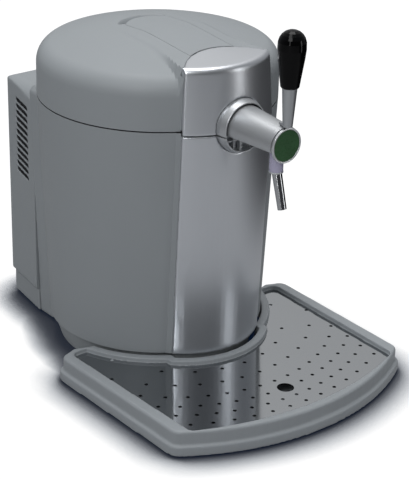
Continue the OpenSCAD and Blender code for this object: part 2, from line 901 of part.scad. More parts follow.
module fan_frame() {
    color(dark) at_axis() {
        difference() {
            bar(-40, 40, fan_y, fan_y + fan_t, cooler_z - 40, cooler_z + 40);
            rod_y(0, cooler_z, fan_y - over, fan_y + fan_t + over, fan_r + 1.5, fan_r + 1.5);
            for (sx = [-1, 1])
                for (sz = [-1, 1])
                    rod_y(sx * 35.5, cooler_z + sz * 35.5, fan_y - over, far, 2, 2, fn_small);
        }
        for (a = [0, 90])
            translate([0, 0, cooler_z]) rotate([0, a, 0])
                bar(-fan_r - 2, fan_r + 2, fan_y + fan_t - 2, fan_y + fan_t, -2, 2);
        rod_y(0, cooler_z, fan_y + fan_t - 2, fan_y + fan_t, 12, 12);
        rod_y(0, cooler_z, fan_y + 2, fan_y + fan_t - 2, shaft_r, shaft_r, fn_small);
    }
}

module fan_rotor() {
    color(black) at_axis() difference() {
        union() {
            rod_y(0, cooler_z, fan_y + 2, fan_y + fan_t - 3, 13, 13);
            for (a = [0:360 / 7:359])
                translate([0, fan_y + 7.5, cooler_z]) rotate([0, a, 0])
                    translate([(fan_r + 10) / 2, 0, 0]) rotate([35, 0, 0])
                        cube([fan_r - 10.5, 1.4, 12], center = true);
        }
        rod_y(0, cooler_z, 0, far, shaft_r + run_gap, shaft_r + run_gap, fn_small);
    }
}

module power_supply() {
    color(steel) at_axis() difference() {
        bar(-30, 60, 140, inner_y, 74, 98);
        for (i = [0:7])
            bar(-22 + i * 10, -17 + i * 10, 148, 175, 96, far);
    }
}

module control_board() {
    color(board) at_axis() {
        bar(50, 52, 128, inner_y, 124, 200);
        bar(46, 50, 130, 138, 150, 170);
        bar(42, 50, 146, 158, 150, 165);
        rod_x(140, 186, 5, 41, 50);
    }
}

module mains_inlet() {
    color(black) at_axis() {
        difference() {
            union() {
                bar(inlet_x - 14, inlet_x + 14, rear_y - 22, rear_y - 0.5, inlet_z - 10, inlet_z + 10);
                bar(inlet_x - 17, inlet_x + 17, rear_y - cover_t - 2.5, rear_y - cover_t - seat_gap,
                    inlet_z - 13, inlet_z + 13);
            }
            bar(inlet_x - 11, inlet_x + 11, rear_y - 18, rear_y, inlet_z - 7, inlet_z + 7);
        }
    }
}

module inlet_pins() {
    color(steel) at_axis() for (x = [-6, 6])
        bar(inlet_x + x - 2, inlet_x + x + 2, rear_y - 18, rear_y - 5, inlet_z - 1, inlet_z + 1);
}

rocker_y = rear_y - 7;

module switch_housing() {
    color(black) at_axis() difference() {
        union() {
            bar(switch_x - 10, switch_x + 10, rear_y - 20, rear_y - 0.5, inlet_z - 7, inlet_z + 7);
            bar(switch_x - 13, switch_x + 13, rear_y - cover_t - 2.5, rear_y - cover_t - seat_gap,
                inlet_z - 10, inlet_z + 10);
        }
        bar(switch_x - 8, switch_x + 8, rear_y - 16, rear_y, inlet_z - 5, inlet_z + 5);
        translate([switch_x, rocker_y, 0]) rod_z(0, 0, 1.2 + run_gap, inlet_z - 6.2, inlet_z + 6.2);
    }
}

module switch_rocker() {
    color(dark) at_axis() translate([switch_x, rocker_y, 0]) {
        prism_z([[-7.2, 4.4], [-7.2, 0], [-5, -2.5], [5, -2.5], [7.2, 0], [7.2, 4.4], [0, 2.6]],
            inlet_z - 4.6, inlet_z + 4.6);
        rod_z(0, 0, 1.2, inlet_z - 6, inlet_z + 6);
    }
}

hinge_y = body_r + 10;
hinge_z = seam_z + 5;
hinge_r = 6;
hinge_pin_r = 2.5;
lug_x0 = 30;
lug_x1 = 38;

module hinge_lugs() {
    color(grey) at_axis() difference() {
        for (s = [-1, 1]) {
            bar(min(s * lug_x0, s * lug_x1), max(s * lug_x0, s * lug_x1),
                hinge_y - hinge_r, hinge_y + hinge_r, cover_top, hinge_z);
            rod_x(hinge_y, hinge_z, hinge_r, min(s * lug_x0, s * lug_x1), max(s * lug_x0, s * lug_x1));
        }
        rod_x(hinge_y, hinge_z, hinge_pin_r, -far, far);
    }
}

module hinge_pin() {
    color(steel) at_axis() rod_x(hinge_y, hinge_z, hinge_pin_r, -lug_x1, lug_x1);
}

module lid_knuckles() {
    k0 = 20;
    k1 = lug_x0 - move_gap;
    color(grey) at_axis() difference() {
        for (s = [-1, 1]) {
            bar(min(s * k0, s * k1), max(s * k0, s * k1), body_r - 8, hinge_y, hinge_z - 3, hinge_z + 6);
            rod_x(hinge_y, hinge_z, hinge_r, min(s * k0, s * k1), max(s * k0, s * k1));
        }
        rod_z(0, 0, body_r + seat_gap, 0, far, fn_big);
        rod_x(hinge_y, hinge_z, hinge_pin_r + run_gap, -far, far);
    }
}

// ---------- drip tray ----------

tier_z = 14;
tier_in = 4;
ear_y = -34;
rim_w = 8.5;
grid_z = 25.3;
grid_t = 1.2;
tray_c = tray_arc_r - tray_front;
notch_r = body_rad(skirt_z) + 1.8;
pod_notch_r = pod_rad(skirt_z) + 3;
pad_z = 2.5;
corner_half = tray_half - 4.5;
corner_a = asin((corner_half - 16) / (tray_arc_r - 16));

// Right half of the tray outline, from the front centre to the rear ear.
function tray_right(off) = concat(
    arc(0, tray_c, tray_arc_r - off, -90, -90 + corner_a, 12),
    arc(corner_half - 16, tray_c - (tray_arc_r - 16) * cos(corner_a), 16 - off, -90 + corner_a, 1, 6),
    [[tray_half - off, ear_y - 22]],
    arc(tray_half - 16, ear_y - 18, 16 - off, 8, 84, 5),
    [[143, ear_y + 2.5 - off], [notch_r * 0.96, -38 - off]]);

module tray_outline(off, z0, z1) {
    prism_z(concat(tray_right(off), flip(tray_right(off))), z0, z1);
}

module tray_notch(off, z0, z1) {
    rod_z(0, 0, notch_r + off, z0, z1, fn_big);
    intersection() {
        rod_z(0, pod_y, pod_notch_r + off, z0, z1, fn_big);
        bar(-panel_half - off, panel_half + off, -far, 0, z0, z1);
    }
}

// The space inside the rim, grown or shrunk by off.
module tray_basin(off, z0, z1) {
    difference() {
        prism_z(concat(basin_right(off), flip(basin_right(off))), z0, z1);
        tray_notch(rim_w + 1 + off, z0 - over, z1 + over);
    }
}

basin_arc_r = 350;
basin_c = basin_arc_r - tray_front + 14;
basin_half = 146;
basin_a = asin((basin_half - 9) / (basin_arc_r - 9));

function basin_right(off) = concat(
    arc(0, basin_c, basin_arc_r - off, -90, -90 + basin_a, 12),
    arc(basin_half - 9, basin_c - (basin_arc_r - 9) * cos(basin_a), 9 - off, -90 + basin_a, 2, 6),
    [[basin_half + 6 - off, ear_y - 20]],
    arc(basin_half - 3, ear_y - 19, 9 - off, 4, 90, 5),
    [[130, ear_y - 10 - off], [0, ear_y - 10 - off]]);

module drip_tray() {
    color(grey) at_axis() difference() {
        union() {
            tray_outline(0, pad_z, tier_z - 1);
            tray_outline(1, tier_z - 1, tier_z);
            tray_outline(tier_in, tier_z, rim_z - 2);
            tray_outline(tier_in + 0.8, rim_z - 2, rim_z - 0.8);
            tray_outline(tier_in + 2, rim_z - 0.8, rim_z);
        }
        tray_notch(0, 0, far);
        tray_basin(0, grid_z - grid_t, far);
        tray_basin(4, pad_z + wall, far);
    }
}

module tray_tongues() {
    color(grey) at_axis() difference() {
        for (s = [-1, 1])
            translate([s * tongue_x, 0, 0])
                bar(-tongue_w, tongue_w, -notch_r - 30, -notch_r + 28, tongue_z0, tongue_z1);
        difference() {
            bar(-far, far, -far, 0, 0, far);
            tray_notch(-seat_gap, 0, far);
        }
    }
}

module tray_pads() {
    color(black) at_axis() for (p = [[-150, -70], [150, -70], [-110, -255], [110, -255]])
        rod_z(p[0], p[1], 8, 0, pad_z);
}

module drip_grid() {
    color(steel) at_axis() difference() {
        tray_basin(move_gap, grid_z - grid_t + 0.05, grid_z);
        rod_z(0, grid_rows[3][0] + 0.3, finger_r, 0, far);
        for (row = grid_rows)
            for (i = [0:row[3]])
                for (s = [-1, 1])
                    if (s > 0 || row[1] + i > 0)
                        translate([s * (row[1] + i * row[2]), row_y(row, row[1] + i * row[2]), 0])
                            rod_z(0, 0, hole_r, 0, far, 12);
    }
}

// Each row of holes: front y, first x, spacing, count less one, arc radius.
grid_rows = [
    [-168.8, 0, 29.6, 4, 122], [-195, 0, 24, 6, 166.5], [-220.6, 0, 20, 7, 192.5],
    [-239.2, 24.3, 19, 6, 219.5], [-257.3, 0, 19.2, 7, 240.5], [-273, 0, 22.2, 6, 285]];

function row_y(row, x) = row[0] + row[4] - sqrt(row[4] * row[4] - x * x);

body_shell();
front_panel();
base_foot();
rubber_feet();
base_plate();
insulation();
keg_liner();
keg_rest();
top_trim();
lid_seal();
lid_shell();
flap_well();
access_flap();
flap_pin();
lid_front_cap();
lid_liner();
lid_insulation();
keg_coupler();
beer_line();
collar_upper();
collar_lower();
collar_ribs();
tap_barrel();
barrel_floor();
cap_ring();
cap_disc();
lever_bracket();
spout_connector();
spout_ring();
spout_tube();
valve_stem();
lever_stem();
lever_pin();
lever_knob();
rear_frame();
rear_cover();
side_filters();
cold_block();
cooling_module();
heat_sink();
fan_frame();
fan_rotor();
power_supply();
control_board();
mains_inlet();
inlet_pins();
switch_housing();
switch_rocker();
hinge_lugs();
hinge_pin();
lid_knuckles();
drip_tray();
tray_tongues();
tray_pads();
drip_grid();
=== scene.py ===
"""Looks of the mini keg dispenser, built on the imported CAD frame.

The pieces modelled here are written in millimetres about the keg's axis, and place_point puts them into
the frame's metres. Each names the CAD nodes that it stands in for and the body that it rides on.
"""

import json
import math

import bmesh
import bpy
from mathutils import Matrix, Vector


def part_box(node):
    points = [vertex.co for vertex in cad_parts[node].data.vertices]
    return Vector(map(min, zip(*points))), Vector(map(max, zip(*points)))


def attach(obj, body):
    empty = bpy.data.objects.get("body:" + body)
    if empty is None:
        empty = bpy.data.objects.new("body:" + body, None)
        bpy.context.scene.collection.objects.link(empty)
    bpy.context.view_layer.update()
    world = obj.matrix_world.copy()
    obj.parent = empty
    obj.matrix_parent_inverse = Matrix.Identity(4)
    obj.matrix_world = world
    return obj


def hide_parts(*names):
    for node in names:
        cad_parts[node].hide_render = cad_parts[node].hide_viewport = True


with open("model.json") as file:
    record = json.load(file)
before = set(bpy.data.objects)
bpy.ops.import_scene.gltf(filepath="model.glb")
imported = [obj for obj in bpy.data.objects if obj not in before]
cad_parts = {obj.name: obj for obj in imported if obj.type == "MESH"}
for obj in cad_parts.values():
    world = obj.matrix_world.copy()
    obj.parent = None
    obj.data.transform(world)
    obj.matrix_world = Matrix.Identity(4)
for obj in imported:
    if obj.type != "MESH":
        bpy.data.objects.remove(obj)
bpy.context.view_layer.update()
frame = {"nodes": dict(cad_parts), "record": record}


MM = 0.001
AXIS_Y = 0.0575


# ---------- materials ----------

# Sockets of a colour mix node.
MIX_A = 6
MIX_B = 7
MIX_RESULT = 2

# The middle part of a noise, where most of its values lie.
NOISE_LOW = 0.3
NOISE_HIGH = 0.7


def new_material(name):
    material = bpy.data.materials.new(name)
    material.use_nodes = True
    nodes = material.node_tree.nodes
    return material, nodes, material.node_tree.links, nodes["Principled BSDF"]


def object_noise(nodes, links, scale, detail, roughness=0.6, stretch=(1, 1, 1)):
    coords = nodes.new("ShaderNodeTexCoord")
    mapping = nodes.new("ShaderNodeMapping")
    mapping.inputs["Scale"].default_value = stretch
    links.new(coords.outputs["Object"], mapping.inputs["Vector"])
    noise = nodes.new("ShaderNodeTexNoise")
    noise.inputs["Scale"].default_value = scale
    noise.inputs["Detail"].default_value = detail
    noise.inputs["Roughness"].default_value = roughness
    links.new(mapping.outputs["Vector"], noise.inputs["Vector"])
    return noise


def map_range(nodes, links, source, low, high, start=NOISE_LOW, end=NOISE_HIGH):
    """The source's stretch from start to end, spread from low to high."""
    spread = nodes.new("ShaderNodeMapRange")
    spread.inputs["From Min"].default_value = start
    spread.inputs["From Max"].default_value = end
    spread.inputs["To Min"].default_value = low
    spread.inputs["To Max"].default_value = high
    links.new(source, spread.inputs["Value"])
    return spread.outputs["Result"]


def color_ramp(nodes, stops, interpolation="LINEAR"):
    """A ramp through two or more (position, colour) stops."""
    field = nodes.new("ShaderNodeValToRGB")
    field.color_ramp.interpolation = interpolation
    elements = field.color_ramp.elements
    for element, (position, color) in zip(elements, (stops[0], stops[-1])):
        element.position = position
        element.color = (*color, 1)
    for position, color in stops[1:-1]:
        elements.new(position).color = (*color, 1)
    return field


def tint(nodes, links, source, color, spread):
    """A colour that wanders a little either way of the given one."""
    mix = nodes.new("ShaderNodeMix")
    mix.data_type = "RGBA"
    mix.inputs[MIX_A].default_value = (*[c * (1 - spread) for c in color], 1)
    mix.inputs[MIX_B].default_value = (*[min(1, c * (1 + spread)) for c in color], 1)
    links.new(source, mix.inputs[0])
    return mix.outputs[MIX_RESULT]


def surface(name, color, roughness, metallic=0.0, spread=0.03, grain=900.0, bump=0.08, depth=0.00006,
            rough_spread=0.04, stretch=(1, 1, 1), large=14.0, **extra):
    """A material with slow changes of tone, and a fine grain in its gloss and its relief.

    grain and large are the scales of the two noises, and extra sets the shader's own sockets.
    """
    material, nodes, links, shader = new_material(name)
    cloud = object_noise(nodes, links, large, 4.0)
    fine = object_noise(nodes, links, grain, 2.0, 0.5, stretch)
    links.new(tint(nodes, links, cloud.outputs["Fac"], color, spread), shader.inputs["Base Color"])
    gloss = map_range(nodes, links, fine.outputs["Fac"], roughness - rough_spread, roughness + rough_spread)
    links.new(gloss, shader.inputs["Roughness"])
    shader.inputs["Metallic"].default_value = metallic
    relief = nodes.new("ShaderNodeBump")
    relief.inputs["Strength"].default_value = bump
    relief.inputs["Distance"].default_value = depth
    links.new(fine.outputs["Fac"], relief.inputs["Height"])
    links.new(relief.outputs["Normal"], shader.inputs["Normal"])
    for key, value in extra.items():
        shader.inputs[key.replace("_", " ")].default_value = value
    return material


MATS = {
    "shell_plastic": surface("shell_plastic", (0.264, 0.284, 0.298), 0.5, spread=0.025, bump=0.3,
                             depth=0.00009, grain=1300.0, Specular_IOR_Level=0.32),
    "silver_panel": surface("silver_panel", (0.60, 0.62, 0.65), 0.33, 0.92, spread=0.01, grain=2600.0,
                            bump=0.05, depth=0.00002, rough_spread=0.02),
    "foot_rubber": surface("foot_rubber", (0.02, 0.02, 0.02), 0.7),
    "base_steel": surface("base_steel", (0.5, 0.51, 0.52), 0.35, 1.0, stretch=(1, 20, 1)),
    "foam": surface("foam", (0.40, 0.41, 0.41), 0.9, bump=0.6, depth=0.0005, grain=300.0),
    "chamber_metal": surface("chamber_metal", (0.75, 0.76, 0.78), 0.3, 1.0, stretch=(1, 1, 30)),
    "black_plastic": surface("black_plastic", (0.02, 0.02, 0.021), 0.45),
    "pin_steel": surface("pin_steel", (0.6, 0.61, 0.62), 0.25, 1.0),
    "hose": surface("hose", (0.7, 0.78, 0.84), 0.3),
    "disc_green": surface("disc_green", (0.026, 0.084, 0.03), 0.3, spread=0.3, large=90.0, bump=0.02,
                          Specular_IOR_Level=0.35),
    "ring_metal": surface("ring_metal", (0.66, 0.675, 0.69), 0.36, 1.0, bump=0.02),
    "barrel_metal": surface("barrel_metal", (0.46, 0.475, 0.49), 0.38, 0.8, grain=2600.0, bump=0.05,
                            depth=0.00002),
    "connector_plastic": surface("connector_plastic", (0.50, 0.48, 0.64), 0.25, bump=0.02,
                                 Transmission_Weight=0.25),
    "spout_chrome": surface("spout_chrome", (0.44, 0.45, 0.46), 0.1, 1.0, bump=0.01, rough_spread=0.02),
    "knob_black": surface("knob_black", (0.0012, 0.0012, 0.0014), 0.09, spread=0.1, bump=0.01,
                          rough_spread=0.02, Specular_IOR_Level=0.13),
    "lever_metal": surface("lever_metal", (0.42, 0.435, 0.45), 0.33, 0.85, bump=0.04),
    "heat_sink_metal": surface("heat_sink_metal", (0.6, 0.61, 0.62), 0.35, 1.0),
    "ceramic_white": surface("ceramic_white", (0.8, 0.8, 0.78), 0.4),
    "board_green": surface("board_green", (0.02, 0.16, 0.06), 0.4),
    "fan_black": surface("fan_black", (0.015, 0.015, 0.016), 0.45),
    "filter_dark": surface("filter_dark", (0.012, 0.013, 0.015), 0.8),
    "tray_plastic": surface("tray_plastic", (0.262, 0.282, 0.298), 0.45, spread=0.02, bump=0.25,
                            depth=0.00009, grain=1300.0, Specular_IOR_Level=0.35),
    "grid_steel": surface("grid_steel", (0.375, 0.39, 0.405), 0.09, 1.0, spread=0.02, bump=0.02,
                          rough_spread=0.03),
    "seal_rubber": surface("seal_rubber", (0.02, 0.02, 0.02), 0.6),
}

for part in frame["record"]["subparts"]:
    ob = frame["nodes"][part["node"]]
    ob.data.materials.clear()
    ob.data.materials.append(MATS[part["material_slot"]])


# ---------- mesh helpers ----------

WELD = 0.00001
SHARP_ANGLE = 35.0


def place_point(x, y, z):
    """A point in millimetres about the keg's axis, in the frame's metres."""
    return (x * MM, y * MM + AXIS_Y, z * MM)


def link_object(name, mesh):
    ob = bpy.data.objects.new(name, mesh)
    bpy.context.scene.collection.objects.link(ob)
    return ob


def mesh_object(name, vertices, faces, weld=0.0):
    """An object from points in millimetres, with its faces turned outwards."""
    mesh = bpy.data.meshes.new(name)
    mesh.from_pydata([place_point(*v) for v in vertices], [], faces)
    mesh.validate()
    shell = bmesh.new()
    shell.from_mesh(mesh)
    if weld:
        bmesh.ops.remove_doubles(shell, verts=shell.verts, dist=weld)
    bmesh.ops.recalc_face_normals(shell, faces=shell.faces)
    shell.to_mesh(mesh)
    shell.free()
    return link_object(name, mesh)


def finish_piece(ob, body, slot, nodes_replaced=(), angle=SHARP_ANGLE):
    ob.data.materials.clear()
    ob.data.materials.append(MATS[slot])
    ob.data.shade_smooth()
    ob.data.set_sharp_from_angle(angle=math.radians(angle))
    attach(ob, body)
    if nodes_replaced:
        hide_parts(*nodes_replaced)


def prism(outline_low, outline_high, z0, z1):
    """A cutter between two outlines of the same count."""
    n = len(outline_low)
    vertices = [(x, y, z0) for x, y in outline_low] + [(x, y, z1) for x, y in outline_high]
    faces = [list(range(n))[::-1], [n + i for i in range(n)]]
    faces += [[i, (i + 1) % n, n + (i + 1) % n, n + i] for i in range(n)]
    return mesh_object("cutter", vertices, faces)


def apply_modifiers(ob):
    graph = bpy.context.evaluated_depsgraph_get()
    mesh = bpy.data.meshes.new_from_object(ob.evaluated_get(graph))
    ob.modifiers.clear()
    ob.data = mesh


def cut(ob, cutters, operation="DIFFERENCE"):
    for cutter in cutters:
        mod = ob.modifiers.new("cut", "BOOLEAN")
        mod.operation = operation
        mod.solver = "EXACT"
        mod.object = cutter
    apply_modifiers(ob)
    for cutter in cutters:
        bpy.data.objects.remove(cutter)


def arc_points(cx, cy, radius, a0, a1, count):
    return [(cx + radius * math.cos(math.radians(a0 + (a1 - a0) * i / count)),
             cy + radius * math.sin(math.radians(a0 + (a1 - a0) * i / count))) for i in range(count + 1)]


# ---------- lid ----------

# The dome: a cap of a large sphere with a rounded edge.
LID_R = 137.0
EDGE_R = 24.0
EDGE_Z = 339.0
DOME_R = 400.0
DOME_C = EDGE_Z - math.sqrt((DOME_R - EDGE_R) ** 2 - (LID_R - EDGE_R) ** 2)
DOME_TOP = DOME_C + DOME_R
TANGENT_R = DOME_R * (LID_R - EDGE_R) / (DOME_R - EDGE_R)
LID_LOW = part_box("lid_shell")[0][2] / MM
LID_WALL = 3.4

# The tongue over the tap: it falls and widens to the front, and its sides get steeper there.
TONGUE_Z = DOME_TOP + 0.8
TONGUE_SLOPE = math.tan(math.radians(4))
TONGUE_HALF = 46.0
TONGUE_REAR = 40
TONGUE_CROWN = 2.1
TONGUE_BLEND = 5.0
WIDER_BY = 11.0
WIDER_FROM = 60.0
WIDER_OVER = 58.0
SIDE_FALL = 1.05
STEEPER_BY = 3.5
STEEPER_FROM = 70.0
STEEPER_OVER = 45.0
REAR_FALL_FROM = 22.0
REAR_FALL = 0.006

# The finger recess behind the flap: a crescent, in radii and in degrees about the axis.
RECESS_IN = 36.0
RECESS_OUT = 46.0
RECESS_HALF = 50.0
RECESS_DEPTH = 6.5
RECESS_BANK = 4.5
RECESS_END = 0.16
RECESS_MARGIN = 4

# The flap, the well under it, and the seat of the cap in front of them.
FLAP_HALF = 29.5
FLAP_WALL = 3.0
FLAP_GAP = 0.5
FLAP_FRONT_GAP = 1.1
WELL_FRONT = 60.0
WELL_GAP = 0.6
WELL_RIM_DROP = 1.2
WELL_FLOOR = 358.8
WELL_WALL = 1.8
WELL_BACK_FRONT = 58.0
WELL_BACK_DROP = 3.6
WELL_FLOOR_T = 2.0
SEAT_Y = -157.0
SEAT_R = 66.5
SEAT_GAP = 0.2
SEAT_LOW_HALF = 62.2
SEAT_HIGH_HALF = 57.7
SIDE_Y = -117.0

# How far the cutters reach, and how fine the lid and the outlines are.
CUT_FRONT = -260.0
SEAT_CUT_Z = (290.0, 385.0)
WELL_CUT_Z = (350.0, 400.0)
FLAP_CUT_Z = (355.0, 400.0)
SPOKES = 300
RING_STEP = 1.6
EDGE_STEP = 0.8
EDGE_FROM = 112
FLAP_STEPS = 24
SEAT_STEPS = 32


def smooth_step(t):
    t = min(1.0, max(0.0, t))
    return t * t * (3 - 2 * t)


def smooth_max(a, b, k):
    h = max(k - abs(a - b), 0.0) / k
    return max(a, b) + h * h * k * 0.25


def dome_z(r):
    if r <= TANGENT_R:
        return DOME_C + math.sqrt(DOME_R ** 2 - r * r)
    return EDGE_Z + math.sqrt(max(0.0, EDGE_R ** 2 - (r - (LID_R - EDGE_R)) ** 2))


def tongue_top(x, y):
    half = TONGUE_HALF + WIDER_BY * smooth_step((-WIDER_FROM - y) / WIDER_OVER)
    steep = SIDE_FALL + STEEPER_BY * smooth_step((-STEEPER_FROM - y) / STEEPER_OVER)
    crown = -TONGUE_CROWN * min(1.0, abs(x) / TONGUE_HALF) ** 2 - max(0.0, abs(x) - half) * steep
    rear = max(0.0, y + REAR_FALL_FROM)
    return TONGUE_Z + y * TONGUE_SLOPE + crown - REAR_FALL * rear ** 2


def lid_height(x, y, scoop=True):
    """The height of the lid's outside, with or without the finger recess."""
    r = math.hypot(x, y)
    z = dome_z(min(r, LID_R))
    if y < TONGUE_REAR:
        z = smooth_max(z, tongue_top(x, y), TONGUE_BLEND)
    if scoop and y > 0 and r > RECESS_IN - RECESS_MARGIN:
        angle = abs(math.degrees(math.atan2(x, y)))
        bank = smooth_step((RECESS_OUT - r) / RECESS_BANK)
        z -= RECESS_DEPTH * bank * smooth_step((RECESS_HALF - angle) * RECESS_END)
    return z


def ring_radii():
    radii = [0.0]
    while radii[-1] < LID_R - 0.01:
        step = RING_STEP if radii[-1] < EDGE_FROM else EDGE_STEP
        radii.append(min(LID_R, radii[-1] + step))
    return radii


def lid_grid(thickness, scoop):
    """A closed shell of the domed lid: its outside, an inside a wall further in, and the edge between."""
    radii = ring_radii()
    turns = [2 * math.pi * i / SPOKES for i in range(SPOKES)]
    vertices = []
    faces = []

    def layer(off):
        base = len(vertices)
        for r in radii[1:]:
            inset = r * (LID_R - off) / LID_R
            for a in turns:
                z = lid_height(r * math.cos(a), r * math.sin(a), scoop) - off
                vertices.append((inset * math.cos(a), inset * math.sin(a), z))
        centre = len(vertices)
        vertices.append((0.0, 0.0, lid_height(0, 0, scoop) - off))
        for a in turns:
            vertices.append(((LID_R - off) * math.cos(a), (LID_R - off) * math.sin(a), LID_LOW))
        last = base + (len(radii) - 2) * SPOKES
        for i in range(SPOKES):
            j = (i + 1) % SPOKES
            faces.append([centre, base + i, base + j])
            for k in range(len(radii) - 2):
                faces.append([base + k * SPOKES + i, base + (k + 1) * SPOKES + i,
                              base + (k + 1) * SPOKES + j, base + k * SPOKES + j])
            faces.append([last + i, centre + 1 + i, centre + 1 + j, last + j])
        return centre + 1

    outer = layer(0.0)
    inner = layer(thickness)
    for i in range(SPOKES):
        j = (i + 1) % SPOKES
        faces.append([outer + i, inner + i, inner + j, outer + j])
    return vertices, faces


def flap_outline(grow, front):
    """The flap in plan: straight sides, a rear arc about the axis and a front arc about the cap's centre."""
    half = FLAP_HALF + grow
    corner = math.sqrt((RECESS_IN + grow) ** 2 - half ** 2)
    turn = math.degrees(math.atan2(corner, half))
    seat = math.degrees(math.atan2(math.sqrt(front ** 2 - half ** 2), half))
    return (arc_points(0, 0, RECESS_IN + grow, turn, 180 - turn, FLAP_STEPS)
            + arc_points(0, SEAT_Y, front, 180 - seat, seat, FLAP_STEPS))


def seat_outline(half):
    """The cap's seat in plan, open to the front."""
    reach = math.degrees(math.atan2(SIDE_Y - SEAT_Y, math.sqrt(SEAT_R ** 2 - (SIDE_Y - SEAT_Y) ** 2)))
    return ([(-half, CUT_FRONT), (-half, SIDE_Y)]
            + arc_points(0, SEAT_Y, SEAT_R + SEAT_GAP, 180 - reach, reach, SEAT_STEPS)
            + [(half, SIDE_Y), (half, CUT_FRONT)])


def well_mesh():
    """The well under the flap: a wall, its floor, and the outside of both."""
    rim = flap_outline(WELL_GAP, WELL_FRONT)
    back = flap_outline(WELL_GAP + WELL_WALL, WELL_BACK_FRONT)
    n = len(rim)
    vertices = [(x, y, lid_height(x, y) - WELL_RIM_DROP) for x, y in rim]
    vertices += [(x, y, WELL_FLOOR) for x, y in rim]
    vertices += [(x, y, lid_height(x, y) - WELL_BACK_DROP) for x, y in back]
    vertices += [(x, y, WELL_FLOOR - WELL_FLOOR_T) for x, y in back]
    faces = []
    for i in range(n):
        j = (i + 1) % n
        faces.append([i, j, n + j, n + i])
        faces.append([2 * n + i, 3 * n + i, 3 * n + j, 2 * n + j])
        faces.append([i, 2 * n + i, 2 * n + j, j])
    faces.append([n + i for i in range(n)])
    faces.append([3 * n + i for i in range(n)][::-1])
    return vertices, faces


lid_piece = mesh_object("lid_skin", *lid_grid(LID_WALL, True), WELD)
well_hole = flap_outline(FLAP_GAP, WELL_FRONT)
cut(lid_piece, [prism(seat_outline(SEAT_LOW_HALF), seat_outline(SEAT_HIGH_HALF), *SEAT_CUT_Z),
                prism(well_hole, well_hole, *WELL_CUT_Z)])
finish_piece(lid_piece, "lid", "shell_plastic", ("lid_shell", "flap_well"))

flap_piece = mesh_object("flap_skin", *lid_grid(FLAP_WALL, False), WELD)
flap_edge = flap_outline(0.0, SEAT_R + FLAP_FRONT_GAP)
cut(flap_piece, [prism(flap_edge, flap_edge, *FLAP_CUT_Z)], "INTERSECT")
finish_piece(flap_piece, "flap", "shell_plastic", ("access_flap",))

well_piece = mesh_object("flap_recess", *well_mesh(), WELD)
finish_piece(well_piece, "lid", "black_plastic")


# ---------- rounded edges ----------

BOX_JOINT = 0.0011
JOINT_SHADE_DEPTH = 0.0004


def soften(name, part, body, slot, voxel, turns, angle=180.0):
    """A copy of a CAD piece whose edges are rounded off as moulded or drawn ones are."""
    ob = link_object(name, frame["nodes"][part].data.copy())
    remesh = ob.modifiers.new("remesh", "REMESH")
    remesh.mode = "VOXEL"
    remesh.voxel_size = voxel * MM
    smooth = ob.modifiers.new("smooth", "SMOOTH")
    smooth.iterations = turns
    smooth.factor = 0.5
    apply_modifiers(ob)
    finish_piece(ob, body, slot, (part,), angle)
    return ob


def open_front(ob, gap):
    """Set the front edge of the rear box back from its frame, which leaves the joint between them."""
    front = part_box("rear_cover")[0][1] + gap
    for vertex in ob.data.vertices:
        vertex.co.y = max(vertex.co.y, front)


def paint_joint_shade(part, depth):
    """Give a CAD piece's top faces, which show through the lid's joint, the seal's dark material as painted
    shade in the joint.
    """
    rim = frame["nodes"][part].data
    rim_top = max(v.co.z for v in rim.vertices) - depth
    rim.materials.append(MATS["seal_rubber"])
    for polygon in rim.polygons:
        if min(rim.vertices[i].co.z for i in polygon.vertices) > rim_top:
            polygon.material_index = 1


# Each call gives the voxel in millimetres, the turns of smoothing and the angle that stays sharp.
box_piece = soften("box_skin", "rear_cover", "cabinet", "shell_plastic", 1.2, 6, 50.0)
open_front(box_piece, BOX_JOINT)
soften("box_frame_skin", "rear_frame", "cabinet", "shell_plastic", 1.2, 14, 50.0)
# The body shell's top rim gets painted shade, so the joint under the lid reads dark.
paint_joint_shade("body_shell", JOINT_SHADE_DEPTH)
soften("foot_skin", "base_foot", "cabinet", "shell_plastic", 1.3, 3, 50.0)
soften("collar_upper_skin", "collar_upper", "lid", "barrel_metal", 0.5, 5)
soften("collar_lower_skin", "collar_lower", "cabinet", "barrel_metal", 0.5, 5)
soften("ring_skin", "cap_ring", "lid", "ring_metal", 0.35, 4)
soften("tray_skin", "drip_tray", "tray", "tray_plastic", 1.25, 3, 60.0)
soften("panel_skin", "front_panel", "cabinet", "silver_panel", 1.0, 6)
soften("cap_skin", "lid_front_cap", "lid", "silver_panel", 0.9, 9)


# ---------- camera ----------

# Fitted to the photo: the focal length and the principal point are in its pixels.
PICTURE_W = 409
PICTURE_H = 480
FOCAL = 1583.4
PRINCIPAL_X = 158.84
AZ = math.radians(-37.25)
EL = math.radians(24.47)
ROLL = math.radians(0.68)
CAMERA_AT = Vector((-1.03093, -1.36153 + AXIS_Y, 0.89217))
SENSOR = 36.0


def make_camera():
    back = Vector((math.sin(AZ) * math.cos(EL), -math.cos(AZ) * math.cos(EL), math.sin(EL)))
    right = Vector((math.cos(AZ), math.sin(AZ), 0.0))
    up = back.cross(right)
    camera_x = math.cos(ROLL) * right + math.sin(ROLL) * up
    camera_y = -math.sin(ROLL) * right + math.cos(ROLL) * up
    data = bpy.data.cameras.new("camera")
    data.sensor_width = SENSOR
    data.lens = FOCAL / PICTURE_H * SENSOR
    data.shift_x = (PICTURE_W / 2 - PRINCIPAL_X) / PICTURE_H
    data.clip_start = 0.05
    data.clip_end = 50.0
    ob = link_object("camera", data)
    place = Matrix((camera_x, camera_y, back)).transposed().to_4x4()
    place.translation = CAMERA_AT
    ob.matrix_world = place
    bpy.context.scene.camera = ob


make_camera()


# ---------- stage ----------

FLOOR_SIZE = 10.0
FLOOR_SHADE = 0.048
FLOOR_GLOW = 1.0
FLOOR_SEEN = (0.06, 0.06, 0.06)

